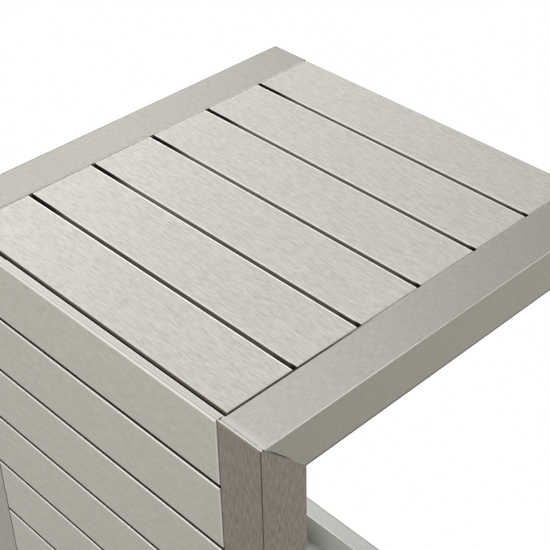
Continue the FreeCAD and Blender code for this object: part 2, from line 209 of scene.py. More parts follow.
# %% The recipe for grooved aluminium
# The groove vectors lean a little off their axis, so that no face has its normal along one.
GROOVES = {"X": (1.0, 0.02, 0.03), "Y": (0.03, 1.0, 0.02), "Z": (0.02, 0.03, 1.0)}
GROOVE_DEPTH_MM = 0.02
GROOVE_STRENGTH = 0.2
GLOSS_SWING = 0.04
QUARTER_TURN = 0.25
NOISE_RANGE = {"From Min": 0.3, "From Max": 0.7}


def grooved_aluminium(name, groove, dark, light, hairline_mm, layers=(), roughness=0.50, spread=0.6):
    """Aluminium with hairlines of (length, width) along the groove axis, between two colours.

    Each layer is a colour and its masks, where a mask is a function and what it takes."""
    material, tree = new_material(name)
    texture = add_node(tree, "ShaderNodeTexCoord")
    stretch = [1 / (MM * hairline_mm[axis != groove]) for axis in "XYZ"]
    along = add_node(tree, "ShaderNodeMapping", {
        "Vector": texture.outputs["Object"], "Scale": stretch})
    hairlines = add_node(tree, "ShaderNodeTexNoise", {
        "Vector": along.outputs["Vector"], "Scale": 1.0, "Detail": 1.0, "Roughness": 0.6})
    shade = add_node(tree, "ShaderNodeMapRange", {"Value": hairlines.outputs["Fac"], **NOISE_RANGE})
    colour = add_node(tree, "ShaderNodeMix", {
        "Factor": shade.outputs["Result"], MIX_COLOUR_A: linear(dark), MIX_COLOUR_B: linear(light),
    }, data_type="RGBA").outputs[MIX_COLOUR_OUT]
    for layer_colour, masks in layers:
        cover = 0.0
        for make_mask, *details in masks:
            cover = add_node(tree, "ShaderNodeMath", {
                0: cover, 1: make_mask(tree, texture, *details)}, operation="MAXIMUM").outputs["Value"]
        colour = add_node(tree, "ShaderNodeMix", {
            "Factor": cover, MIX_COLOUR_A: colour, MIX_COLOUR_B: linear(layer_colour),
        }, data_type="RGBA").outputs[MIX_COLOUR_OUT]

    gloss = add_node(tree, "ShaderNodeMapRange", {
        "Value": hairlines.outputs["Fac"], **NOISE_RANGE,
        "To Min": roughness + GLOSS_SWING, "To Max": roughness - GLOSS_SWING})
    relief = add_node(tree, "ShaderNodeBump", {
        "Height": hairlines.outputs["Fac"], "Strength": GROOVE_STRENGTH,
        "Distance": GROOVE_DEPTH_MM * MM})
    tangent = add_node(tree, "ShaderNodeCombineXYZ", dict(zip("XYZ", GROOVES[groove])))
    shader = add_node(tree, "ShaderNodeBsdfPrincipled", {
        "Base Color": colour, "Metallic": 1.0, "Roughness": gloss.outputs["Result"],
        "Anisotropic": spread, "Anisotropic Rotation": QUARTER_TURN,
        "Normal": relief.outputs["Normal"], "Tangent": tangent.outputs["Vector"]})
    add_node(tree, "ShaderNodeOutputMaterial", {"Surface": shader.outputs["BSDF"]})
    return material


print("hairlines can run along", ", ".join(GROOVES))

# %% [markdown]
# The strips lie along the edges of the pieces, so their lines come from the CAD frame: each piece has
# a box, and the slats are numbered from the first to the last.

# %% Find the slats
def slat_names(area):
    """The slats of the top or of the panel, from the first to the last."""
    names = [name for name in nodes if name.startswith(area + "_slat_") and "screws" not in name]
    return sorted(names, key=lambda name: int(name.split("_")[-1]))


def box_mm(name):
    """The low and the high corner of a CAD node, in millimetres."""
    return [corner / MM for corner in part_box(name)]


top_slats = slat_names("top")
panel_slats = slat_names("panel")
print("slats:", len(top_slats), "in the top,", len(panel_slats), "in the panel")

# %% [markdown]
# The real hairlines are about a tenth of a millimetre wide, finer than a pixel, so they are drawn
# here as coarse as they need to be to show at all. They are 6 to 7 mm long on the slats and rails, and
# 9 mm on the posts. They show most on the right post and the top slats, and are faint on the rails.
#
# The top slats have a painted highlight along each back edge and on the rounds that face the front.
# The sides in the gaps are painted dark as shade, and over the angle bars, where no light comes up from
# below, that painted shade is nearly black. The front of the first slat shows above the panel: first
# its edge, painted as a highlight, then its side, painted as shade, and then the painted dark of the
# gap. The last slat's back edge is painted as shade.

# %% Brush the top slats
# Burnished edges with a painted highlight on top, and painted shade for edges that look away from the
# light.
BURNISH_AND_HIGHLIGHT = "#dedcd6"
SHADED_EDGE = "#75726c"
SLAT_HAIRLINE_MM = (7.0, 0.45)
# Each strip has a width, and the width over which it fades.
BACK_EDGE_MM = (1.2, 0.6)
FRONT_EDGE_MM = (1.2, 0.4)
FRONT_SIDE_MM = (0.1, 0.1)
FRONT_GAP_MM = (8.0, 1.0)
SHADED_EDGE_MM = (1.2, 0.5)
LEFT_DARK_MM = (22.0, 26.0)
RIGHT_DARK_MM = (4.0, 4.0)
# How far down the first slat's front is painted as lit, before the painted dark of the gap.
FRONT_LIT_MM = 3.4
# The normal's part along a direction where a mask starts, and where it is full.
ON_ROUND, ON_STEEP, ON_FLAT = (0.1, 0.5), (0.6, 0.9), (0.93, 0.995)

low, high = box_mm(top_slats[0])
pitch = box_mm(top_slats[1])[0].y - low.y
# Painted highlights along the back edges and on the rounds that face the front.
back_edges = [(strip_mask, FRONT, -high.y, *BACK_EDGE_MM, pitch)]
front_rounds = [(facing_mask, FRONT, *ON_ROUND)]
# Painted shade on the sides in the gaps, nearly black at the ends over the angle bars.
painted_shade_sides = [(facing_mask, way, *ON_FLAT) for way in (BACK, FRONT)]
gap_sides = (facing_mask, FRONT, *ON_STEEP)
dark_ends = [
    (shared_mask, gap_sides, (strip_mask, RIGHT, low.x, *LEFT_DARK_MM)),
    (shared_mask, gap_sides, (strip_mask, LEFT, -high.x, *RIGHT_DARK_MM))]
# The first slat's front: an edge painted as a highlight, a side painted as shade, then the painted dark
# of the gap.
front_edge = [(strip_mask, BACK, low.y, *FRONT_EDGE_MM)]
front_side = (strip_mask, BACK, low.y, *FRONT_SIDE_MM)
front_gap = [(shared_mask, front_side, (strip_mask, DOWN, FRONT_LIT_MM - high.z, *FRONT_GAP_MM))]
# Painted shade on the last slat's back edge.
last_edge = [(strip_mask, FRONT, -high.y - pitch * (len(top_slats) - 1), *SHADED_EDGE_MM)]
# Brushed along the slat: fine streaks on a pale grey face, between thin edges painted bright as
# highlights.
top_finish = grooved_aluminium(
    "aluminium_brushed_top_slats", "X", "#a29f98", "#b7b5af", SLAT_HAIRLINE_MM, [
        (BURNISH_AND_HIGHLIGHT, [(edge_mask,)]),
        ("#e2e0db", back_edges),
        ("#cbc8c1", front_rounds),
        ("#8d877e", painted_shade_sides),
        ("#413d37", dark_ends),
        ("#bdb8b0", front_edge),
        ("#948a7e", [front_side]),
        ("#3d3731", front_gap),
        (SHADED_EDGE, last_edge)])
dress(top_slats, top_finish)

# %% [markdown]
# The panel's slats stand upright, and their colour is painted darker than the top's, as shade on an
# upright face. Their upper edges and their right ends carry painted highlights, as pale lines, and the
# sides in the gaps are painted dark as shade. Only the first slat has its upper side in the open, so
# that side is not painted as shade, and a few paler lines run along it.

# %% Brush the panel slats
UPPER_EDGE_MM = (1.8, 0.6)
RIGHT_END_MM = (0.9, 0.5)
OPEN_TOP_MM = (0.8, 0.3)
PALE_LINE_MM = (0.6, 0.5)
PALE_LINE_PITCH_MM = 2.2
ON_UPPER_SIDE = (0.55, 0.75)

low, high = box_mm(panel_slats[0])
pitch = high.z - box_mm(panel_slats[1])[1].z
# Painted highlights: pale lines on the upper edges and the right ends.
painted_highlight_lines = [
    (strip_mask, DOWN, -high.z, *UPPER_EDGE_MM, pitch),
    (strip_mask, LEFT, -high.x, *RIGHT_END_MM)]
# Painted shade on the sides in the gaps.
painted_shade_sides = [(facing_mask, UP, *ON_UPPER_SIDE), (facing_mask, DOWN, *ON_FLAT)]
open_top = (strip_mask, DOWN, -high.z, *OPEN_TOP_MM)
pale_top_lines = [(shared_mask, open_top, (strip_mask, BACK, low.y, *PALE_LINE_MM, PALE_LINE_PITCH_MM))]
# The same brushing on an upright face: painted darker, as shade, and calmer streaks.
panel_finish = grooved_aluminium(
    "aluminium_brushed_panel_slats", "X", "#9b978e", "#aba79e", SLAT_HAIRLINE_MM, [
        ("#ccc9c2", painted_highlight_lines),
        ("#4b4843", painted_shade_sides),
        ("#a9a7a1", [open_top]),
        ("#b9b7b1", pale_top_lines)])
dress(panel_slats, panel_finish)

# %% [markdown]
# On the right rail the outer edge is burnished and painted with a highlight, most of all near the
# mitre, and on both rails the top is painted with a highlight at the end at the mitre, over the weld
# ground flush with the top. The sides are painted a little warmer and darker, as shade. Down the side
# of the mitre the open seam is painted as a dark line of shade for half of its length. The edges that
# look away from the light, on the left, at the back and along the bottom, are painted as shade. So is
# the seam beside the right rail, where it runs towards the panel, and the seam beside the left rail is
# painted bright, as a highlight.

# %% Find the mitre
low, high = box_mm("right_top_rail")
mitre_top = Vector((0.0, low.y, high.z))
mitre_foot = Vector((0.0, box_mm("right_post")[1].y, low.z))
mitre_run = mitre_foot - mitre_top
mitre_square = Vector((0.0, -mitre_run.z, mitre_run.y)).normalized()
print("the mitre runs", round(mitre_run.length, 1), "mm down the side of the rail")

# %% Brush the rails
RAIL_HAIRLINE_MM = (6.0, 0.5)
MITRE_ROUND_MM = 0.4
MITRE_LINE_MM = (1.2, 0.3)
MITRE_END_MM = (0.0, 7.0)
OPEN_SEAM_MM = (18.0, 8.0)
OUTER_EDGE_MM = (5.0, 1.0)
BRIGHT_EDGE_MM = (40.0, 140.0)
LOWER_EDGE_MM = (1.8, 0.5)
LEFT_SEAM_MM = (1.3, 0.4)
RIGHT_SEAM_MM = (1.5, 0.3)
DARK_SEAM_MM = (90.0, 60.0)
ON_MITRE_SIDE, ON_SEAM_SIDE, ON_TOP = (0.2, 0.6), (0.45, 0.8), (-0.3, 0.3)
# A mask that is full at twice the normal's length lays its colour on half and half.
HALF_AND_HALF = (0.0, 2.0)

mitre_line = (strip_mask, mitre_square, mitre_square.dot(mitre_top) - MITRE_ROUND_MM, *MITRE_LINE_MM)
half_way_down = (strip_mask, DOWN, -high.z, *OPEN_SEAM_MM)
# Painted shade: a dark line down the open seam of the mitre, for half its length.
mitre_sides = [
    (shared_mask, mitre_line, half_way_down, (facing_mask, way, *ON_MITRE_SIDE))
    for way in (RIGHT, LEFT)]
# Painted highlight on the top at the mitre end.
mitre_end = [(shared_mask, (facing_mask, UP, *ON_TOP), (strip_mask, BACK, low.y, *MITRE_END_MM))]
# Burnished outer edge with a painted highlight, brightest near the mitre.
outer_edge = (shared_mask, (edge_mask,), (strip_mask, RIGHT, high.x - OUTER_EDGE_MM[0], *OUTER_EDGE_MM))
near_edge = (shared_mask, outer_edge, (strip_mask, BACK, low.y, *BRIGHT_EDGE_MM))
# Painted shade on the left edge and the lower edges, and a painted highlight on the left rail's seam.
left_edge = (strip_mask, RIGHT, -high.x, *SHADED_EDGE_MM)
lower_edges = (strip_mask, UP, low.z, *LOWER_EDGE_MM)
left_seam = (shared_mask, (facing_mask, RIGHT, *ON_SEAM_SIDE), (strip_mask, LEFT, low.x, *LEFT_SEAM_MM))
# Painted shade: a dark line in the seam beside the right rail, towards the panel.
towards_panel = (strip_mask, BACK, box_mm("panel_slat_1")[1].y, *DARK_SEAM_MM)
right_seam = (shared_mask, (strip_mask, RIGHT, low.x, *RIGHT_SEAM_MM), towards_panel)
# Brushed along the rail: hardly a streak, and a smooth grey, painted warmer and darker on the sides as
# shade.
rail_finish = grooved_aluminium(
    "aluminium_brushed_rails", "Y", "#9c9992", "#a8a59e", RAIL_HAIRLINE_MM, [
        ("#999182", [(facing_mask, way, *HALF_AND_HALF) for way in (RIGHT, LEFT)]),
        ("#2c2926", mitre_sides),
        ("#b0afac", mitre_end),
        (SHADED_EDGE, [left_edge]),
        ("#f2f1ee", [left_seam]),
        ("#c2bfb8", [outer_edge]),
        (BURNISH_AND_HIGHLIGHT, [near_edge]),
        ("#5f5b54", [lower_edges]),
        ("#1f1c19", [right_seam])])
dress([f"{side}_{level}_rail" for side in ("left", "right") for level in ("top", "floor")], rail_finish)

# %% [markdown]
# The cross rail on the floor is a little cooler, and its near side is painted lighter, as light. The
# posts are brushed upright, and the right one is painted darker than the left, as shade; the left one
# is as light as the panel. Their edges are painted dark as shade, and only the narrow nose above the
# mitre is painted as a highlight, like the top.

# %% Brush the cross rail and the posts
POST_HAIRLINE_MM = (9.0, 0.5)
# The right post's tones are painted darker than the left's, as shade.
POST_LIT_AND_SHADED_TONES = {"left": ("#9b9890", "#a8a59d"), "right": ("#736c60", "#9c9489")}
ON_POST_EDGE, ON_POST_NOSE = (0.96, 0.86), (0.55, 0.8)

high = box_mm("floor_cross_rail")[1]
# Brushed along the rail, like the others, with its near side painted lighter as light, edges painted
# pale as highlights, and painted shade on the edge at the back.
cross_finish = grooved_aluminium(
    "aluminium_brushed_cross_rail", "X", "#a0a19c", "#aeafaa", RAIL_HAIRLINE_MM, [
        ("#d6d6cd", [(facing_mask, FRONT, *HALF_AND_HALF)]),
        ("#cfcdc8", [(edge_mask,)]),
        (SHADED_EDGE, [(strip_mask, FRONT, -high.y, *SHADED_EDGE_MM)])])
dress(["floor_cross_rail"], cross_finish)

# Brushed upright: long streaks that stand out most on the post painted darker as shade.
# Painted shade on the post edges, and a painted highlight on the nose above the mitre.
painted_post_shade_and_highlight = [
    ("#57514a", [(edge_mask, *ON_POST_EDGE)]),
    ("#c8c5be", [(facing_mask, UP, *ON_POST_NOSE)])]
for side, (dark, light) in POST_LIT_AND_SHADED_TONES.items():
    post_finish = grooved_aluminium(
        f"aluminium_brushed_{side}_post", "Z", dark, light, POST_HAIRLINE_MM, painted_post_shade_and_highlight)
    dress([f"{side}_post"], post_finish)

# %% [markdown]
# ## Angle bars
#
# The slats lie on angle bars, which are plain extruded aluminium straight from the mill. The die
# leaves long faint lines along the bar and a duller, greyer face than brushing does. The same recipe
# makes it, with lines about twenty times as long and less spread. They too are drawn coarser than
# they are, so that they show.

# %% Finish the angle bars
DIE_LINE_MM = (160.0, 1.2)
MILL_ROUGHNESS = 0.55
MILL_SPREAD = 0.3

for area, groove in (("top", "Y"), ("panel", "Z")):
    mill_finish = grooved_aluminium(
        f"aluminium_mill_{area}_bars", groove, "#8f8e8a", "#9e9d99", DIE_LINE_MM,
        roughness=MILL_ROUGHNESS, spread=MILL_SPREAD)
    dress([f"{side}_{area}_ledge" for side in ("left", "right")], mill_finish)

# %% [markdown]
# ## Moulded plastic: end caps and foot glides
#
# The open ends of the tubes are closed with caps of grey polypropylene, pressed in, with the fine
# sparked grain of their mould. The glides under the floor rails are black polyethylene, smoother and
# waxy, and scuffed where they slide. Grain and scuffs are noises at their own sizes: they drive the
# relief, and the gloss a little, because a scuffed place is duller. The grain is drawn coarser than
# it is, so that it shows.

# %% Finish the caps and glides
GRAIN_STRENGTH = 0.5


def moulded_plastic(name, dark, light, grain_mm, grain_depth_mm, mottle_mm, gloss_range, ior):
    """A plastic with a mould's grain, mottled between two colours and two roughnesses."""
    material, tree = new_material(name)
    place = add_node(tree, "ShaderNodeTexCoord").outputs["Object"]
    grain = add_node(tree, "ShaderNodeTexNoise", {
        "Vector": place, "Scale": 1 / (grain_mm * MM), "Detail": 2.0})
    mottle = add_node(tree, "ShaderNodeTexNoise", {
        "Vector": place, "Scale": 1 / (mottle_mm * MM), "Detail": 4.0})
    colour = add_node(tree, "ShaderNodeMix", {
        "Factor": mottle.outputs["Fac"], MIX_COLOUR_A: linear(dark), MIX_COLOUR_B: linear(light),
    }, data_type="RGBA")
    gloss = add_node(tree, "ShaderNodeMapRange", {
        "Value": mottle.outputs["Fac"], **NOISE_RANGE,
        "To Min": gloss_range[0], "To Max": gloss_range[1]})
    relief = add_node(tree, "ShaderNodeBump", {
        "Height": grain.outputs["Fac"], "Strength": GRAIN_STRENGTH, "Distance": grain_depth_mm * MM})
    shader = add_node(tree, "ShaderNodeBsdfPrincipled", {
        "Base Color": colour.outputs[MIX_COLOUR_OUT], "Roughness": gloss.outputs["Result"],
        "IOR": ior, "Normal": relief.outputs["Normal"]})
    add_node(tree, "ShaderNodeOutputMaterial", {"Surface": shader.outputs["BSDF"]})
    return material


# Sparked polypropylene: an even, satin grey that nearly matches the metal.
cap_finish = moulded_plastic(
    "polypropylene_grey_caps", "#8b8983", "#9b9993",
    grain_mm=0.7, grain_depth_mm=0.05, mottle_mm=9.0, gloss_range=(0.50, 0.60), ior=1.49)
dress([name for name in nodes if name.endswith("_cap")], cap_finish)
# Scuffed polyethylene: a waxy black with duller patches.
glide_finish = moulded_plastic(
    "polyethylene_black_glides", "#232322", "#363534",
    grain_mm=1.1, grain_depth_mm=0.03, mottle_mm=4.0, gloss_range=(0.38, 0.56), ior=1.51)
dress([name for name in nodes if name.endswith("_glide")], glide_finish)

# %% [markdown]
# ## Screws
#
# Each slat end is held by two stainless screws, through the angle bar, and the ends of the panel's
# first slat by one. They are button heads with a hexagon socket. One screw is turned from its profile
# with a spin, as on a lathe. The socket is a hexagon whose sides are cut into as many edges as the
# head's rim has, so that a bridge joins the two, and its wall is pushed in by an extrusion. A boolean
# cut would do as well, but it leaves long thin faces on the head, and a bridge keeps them even.

# %% Turn one screw
SCREW_STEPS = 24
HEAD_TOP_MM = -2.4
HEAD_RADIUS_MM = 3.75
MERGE_MM = 0.01
# Radius and height, from the flat of the head round its dome and rim, then up the shank to its tip.
SCREW_PROFILE_MM = [
    (2.4, HEAD_TOP_MM), (2.9, -2.25), (3.35, -1.9), (3.65, -1.4), (HEAD_RADIUS_MM, -0.9),
    (HEAD_RADIUS_MM, -0.15), (3.6, 0.0), (2.0, 0.0), (1.85, 0.35), (1.85, 5.3), (0.0, 7.0)]


def spin_profile(shape, profile, steps):
    """Turns (radius, height) points round Z into a skin, with its doubles merged."""
    corners = [shape.verts.new((radius, 0.0, height)) for radius, height in profile]
    edges = [shape.edges.new(pair) for pair in zip(corners, corners[1:])]
    bmesh.ops.spin(shape, geom=corners + edges, cent=(0, 0, 0), axis=(0, 0, 1),
                   angle=math.tau, steps=steps, use_merge=True)
    bmesh.ops.remove_doubles(shape, verts=shape.verts, dist=MERGE_MM * MM)


screw_shape = bmesh.new()
screw_profile = [(radius * MM, height * MM) for radius, height in SCREW_PROFILE_MM]
spin_profile(screw_shape, screw_profile, SCREW_STEPS)
rim = [edge for edge in screw_shape.edges if edge.is_boundary]
print("the turned screw is open at", len(rim), "edges round its head")

# %% Sink the socket
HEXAGON_SIDES = 6
SOCKET_RADIUS_MM = 1.7
SOCKET_DEPTH_MM = 1.3

hexagon = bmesh.ops.create_circle(
    screw_shape, segments=HEXAGON_SIDES, radius=SOCKET_RADIUS_MM * MM,
    matrix=Matrix.Translation((0, 0, HEAD_TOP_MM * MM)))["verts"]
sides = list({edge for corner in hexagon for edge in corner.link_edges})
bmesh.ops.subdivide_edges(screw_shape, edges=sides, cuts=SCREW_STEPS // HEXAGON_SIDES - 1)
mouth = [edge for edge in screw_shape.edges if edge.is_wire]
bmesh.ops.bridge_loops(screw_shape, edges=rim + mouth)
wall = bmesh.ops.extrude_edge_only(screw_shape, edges=mouth)["geom"]
bottom = [item for item in wall if isinstance(item, bmesh.types.BMVert)]
bmesh.ops.translate(screw_shape, verts=bottom, vec=(0, 0, SOCKET_DEPTH_MM * MM))
bmesh.ops.contextual_create(screw_shape, geom=[
    edge for edge in screw_shape.edges if edge.is_boundary])
bmesh.ops.recalc_face_normals(screw_shape, faces=screw_shape.faces)
screw_mesh = bpy.data.meshes.new("one_screw")
screw_shape.to_mesh(screw_mesh)
open_edges = sum(1 for edge in screw_shape.edges if not edge.is_manifold)
print("one screw:", len(screw_shape.faces), "faces,", open_edges, "open edges")
screw_shape.free()

# %% [markdown]
# The steel is turned and passivated: bright, a little cloudy, with tool marks too fine to see one by
# one. A soft mottle in colour and gloss stands for them. The welds get the same recipe later, in
# aluminium.

# %% Finish the screws
def mottled_metal(name, dark, light, mottle_mm, gloss_range):
    """A metal that is mottled between two colours and two roughnesses."""
    material, tree = new_material(name)
    place = add_node(tree, "ShaderNodeTexCoord").outputs["Object"]
    mottle = add_node(tree, "ShaderNodeTexNoise", {
        "Vector": place, "Scale": 1 / (mottle_mm * MM), "Detail": 3.0})
    shade = add_node(tree, "ShaderNodeMapRange", {"Value": mottle.outputs["Fac"], **NOISE_RANGE})
    colour = add_node(tree, "ShaderNodeMix", {
        "Factor": shade.outputs["Result"], MIX_COLOUR_A: linear(dark), MIX_COLOUR_B: linear(light),
    }, data_type="RGBA")
    gloss = add_node(tree, "ShaderNodeMapRange", {
        "Value": mottle.outputs["Fac"], **NOISE_RANGE,
        "To Min": gloss_range[0], "To Max": gloss_range[1]})
    shader = add_node(tree, "ShaderNodeBsdfPrincipled", {
        "Base Color": colour.outputs[MIX_COLOUR_OUT], "Metallic": 1.0,
        "Roughness": gloss.outputs["Result"]})
    add_node(tree, "ShaderNodeOutputMaterial", {"Surface": shader.outputs["BSDF"]})
    return material


# Passivated steel: bright points under the slats, with soft clouds in their gloss.
steel_finish = mottled_metal(
    "stainless_steel_screws", "#8f8d89", "#b4b2ae", mottle_mm=1.5, gloss_range=(0.22, 0.36))
print("screws are", steel_finish.name)

# %% [markdown]
# The screws of the top are set from below, and those of the panel from behind. Each set is one mesh,
# because the CAD frame has one node for each set too, and the mesh takes the place of that node. Like
# every new piece, it rides on the table.

# %% Helpers for new pieces and screws
SHARP_DEGREES = 35
SCREW_SPACING_MM = 34.0


def make_piece(name, shape, material):
    """Turns a bmesh into a smooth shaded piece that rides on the table."""
    mesh = bpy.data.meshes.new(name)
    shape.to_mesh(mesh)
    shape.free()
    mesh.materials.append(material)
    mesh.shade_smooth()
    mesh.set_sharp_from_angle(angle=math.radians(SHARP_DEGREES))
    piece = bpy.data.objects.new(name, mesh)
    bpy.context.scene.collection.objects.link(piece)
    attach(piece, "root")
    print(name, "has", len(mesh.polygons), "faces")
    return piece


def set_screws(name, node, places, turn):
    """Sets copies of the screw, with the underside of each head at its place, and hides the node."""
    shape = bmesh.new()
    for place in places:
        before = len(shape.verts)
        shape.from_mesh(screw_mesh)
        shape.verts.ensure_lookup_table()
        bmesh.ops.transform(shape, matrix=Matrix.Translation(place) @ turn, verts=shape.verts[before:])
    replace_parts(make_piece(name, shape, steel_finish), node)


def screw_columns(node):
    """Where the screws stand across the table, at the left and the right ends of the slats."""
    low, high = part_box(node)
    return low.x + HEAD_RADIUS_MM * MM, high.x - HEAD_RADIUS_MM * MM


def screw_pair(low, high):
    """Two places, evenly spaced about the middle of a slat's width."""
    middle = (low + high) / 2
    half_spacing = SCREW_SPACING_MM / 2 * MM
    return middle - half_spacing, middle + half_spacing


print("screws stand", SCREW_SPACING_MM, "mm apart")

# %% Set the screws
BAR_THICKNESS_MM = 2.5

top_places = []
for name in top_slats:
    low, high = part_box(name)
    for x in screw_columns("top_slat_screws"):
        for y in screw_pair(low.y, high.y):
            top_places.append((x, y, low.z - BAR_THICKNESS_MM * MM))
set_screws("top_screws", "top_slat_screws", top_places, Matrix.Identity(4))

# The first slat's upper screws would stand above the panel's angle bars, so they are left out.
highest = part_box("panel_slat_screws")[1].z
panel_places = []
for name in panel_slats:
    low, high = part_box(name)
    for x in screw_columns("panel_slat_screws"):
        for z in screw_pair(low.z, high.z):
            if z < highest:
                panel_places.append((x, high.y + BAR_THICKNESS_MM * MM, z))
set_screws("panel_screws", "panel_slat_screws", panel_places, Matrix.Rotation(math.pi / 2, 4, "X"))

# %% [markdown]
# ## Weld beads
#
# The frame is welded where no one looks: in the inner corners of the mitres, along the angle bars,
# and at the cross rail. A weld laid by hand freezes in ripples, like a row of coins pushed over. Each
# bead here is a rod with a rippled profile, turned with a spin and laid half sunk into its corner. A
# curve with a bevel could make the rod, but its section stays the same all along. On top of each
# mitre a thin one lies in the seam, just below the surface.

# %% A helper for beads
BEAD_RADIUS_MM = 1.7
BEAD_RIPPLE_MM = 1.5
BEAD_STEPS = 12
# How far along a ripple, and how much of the bead's radius it has there.
RIPPLE_SHAPE = ((0.1, 0.82), (0.5, 1.0), (0.9, 0.9))


def lay_bead(shape, start, end, radius=BEAD_RADIUS_MM):
    """Adds a rippled rod between two points, in millimetres."""
    start, end = Vector(start) * MM, Vector(end) * MM
    run = end - start
    count = round(run.length / (BEAD_RIPPLE_MM * MM))
    profile = [(0.0, 0.0)]
    for ripple in range(count):
        for part, width in RIPPLE_SHAPE:
            profile.append((radius * width * MM, run.length * (ripple + part) / count))
    profile.append((0.0, run.length))
    rod = bmesh.new()
    spin_profile(rod, profile, BEAD_STEPS)
    bmesh.ops.recalc_face_normals(rod, faces=rod.faces)
    turn = run.to_track_quat("Z", "Y").to_matrix().to_4x4()
    bmesh.ops.transform(rod, matrix=Matrix.Translation(start) @ turn, verts=rod.verts)
    mesh = bpy.data.meshes.new("one_bead")
    rod.to_mesh(mesh)
    rod.free()
    shape.from_mesh(mesh)
    bpy.data.meshes.remove(mesh)


# Welded aluminium: paler and glossier than the brushed tube, with soft clouds.
bead_finish = mottled_metal(
    "aluminium_weld_beads", "#a3a19c", "#bdbbb6", mottle_mm=3.0, gloss_range=(0.30, 0.46))
print("beads are", bead_finish.name)

# %% Lay the beads
BEAD_SUNK_MM = 0.7
BEAD_SHORT_MM = 4.0
STITCH_MM = 26.0
STITCH_COUNT = 4
# The thin bead in the seam lies below the top, ahead of the rail, and stops short of the sides.
FLUSH_RADIUS_MM = 0.8
FLUSH_DEPTH_MM = 0.85
FLUSH_AHEAD_MM = 0.3
FLUSH_SHORT_MM = 1.2


def stitches(low, high):
    """Short runs spread evenly between two ends, in millimetres."""
    pitch = (high - low) / STITCH_COUNT
    middles = [low + pitch * (place + 0.5) for place in range(STITCH_COUNT)]
    return [(middle - STITCH_MM / 2, middle + STITCH_MM / 2) for middle in middles]


beads = bmesh.new()
for side in ("left", "right"):
    way = -1 if side == "left" else 1
    post_low, post_high = box_mm(f"{side}_post")
    inner_x = way * (min(abs(post_low.x), abs(post_high.x)) - BEAD_SUNK_MM)
    behind_post = post_high.y + BEAD_SUNK_MM
    for rail, is_top in ((f"{side}_top_rail", True), (f"{side}_floor_rail", False)):
        rail_low, rail_high = box_mm(rail)
        z = rail_low.z - BEAD_SUNK_MM if is_top else rail_high.z + BEAD_SUNK_MM
        start, end = post_low.x + BEAD_SHORT_MM, post_high.x - BEAD_SHORT_MM
        lay_bead(beads, (start, behind_post, z), (end, behind_post, z))
        if is_top:
            seam = (rail_low.y - FLUSH_AHEAD_MM, rail_high.z - FLUSH_DEPTH_MM)
            start, end = post_low.x + FLUSH_SHORT_MM, post_high.x - FLUSH_SHORT_MM
            lay_bead(beads, (start, *seam), (end, *seam), FLUSH_RADIUS_MM)
    bar_low, bar_high = box_mm(f"{side}_top_ledge")
    for near, far in stitches(bar_low.y, bar_high.y):
        z = bar_low.z - BEAD_SUNK_MM
        lay_bead(beads, (inner_x, near, z), (inner_x, far, z))
    bar_low, bar_high = box_mm(f"{side}_panel_ledge")
    for lower, upper in stitches(bar_low.z, bar_high.z):
        y = bar_high.y + BEAD_SUNK_MM
        lay_bead(beads, (inner_x, y, lower), (inner_x, y, upper))
    cross_low, cross_high = box_mm("floor_cross_rail")
    y = cross_low.y - BEAD_SUNK_MM
    lower, upper = cross_low.z + BEAD_SHORT_MM, cross_high.z - BEAD_SHORT_MM
    lay_bead(beads, (inner_x, y, lower), (inner_x, y, upper))
make_piece("weld_beads", beads, bead_finish)

# %% [markdown]
# ## The floor
#
# A plain white floor carries the shadow. It is a wide disc, so that its edge is as far away in every
# view, and the edge is pulled up into a white wall, so that a level view has a white background too.
# Away from the table both turn to pure white for the camera and for mirror-like rays, so that the
# background has no edge and the metal shows the same background. The shadow lies under the table and
# in front of it, to both sides, so the part that keeps it is made of three round zones. It ends
# sharply behind the table, and more softly the further it lies beside it.

# %% Shape the floor
FLOOR_RADIUS = 30.0
FLOOR_SIDES = 64
WALL_HEIGHT = 7.0

floor_shape = bmesh.new()
bmesh.ops.create_circle(floor_shape, cap_ends=True, segments=FLOOR_SIDES, radius=FLOOR_RADIUS)
walls = bmesh.ops.extrude_edge_only(floor_shape, edges=floor_shape.edges)["geom"]
wall_tops = [item for item in walls if isinstance(item, bmesh.types.BMVert)]
bmesh.ops.translate(floor_shape, verts=wall_tops, vec=(0, 0, WALL_HEIGHT))
floor_mesh = bpy.data.meshes.new("floor")
floor_shape.to_mesh(floor_mesh)
floor_shape.free()
floor = bpy.data.objects.new("floor", floor_mesh)
bpy.context.scene.collection.objects.link(floor)
print("floor and wall have", len(floor_mesh.polygons), "faces")

# %% Find where the floor is white
# The middle and the radius of each zone, and the width over which all of them fade.
SHADOW_ZONES = [((0.0, 0.0, 0.0), 0.20), ((0.25, -0.30, 0.0), 0.34), ((-0.25, -0.35, 0.0), 0.34)]
SHADOW_FADE = 0.36
# Where the shadow starts to end behind the table, and where it has ended.
SHADOW_BACK = (0.190, 0.215)

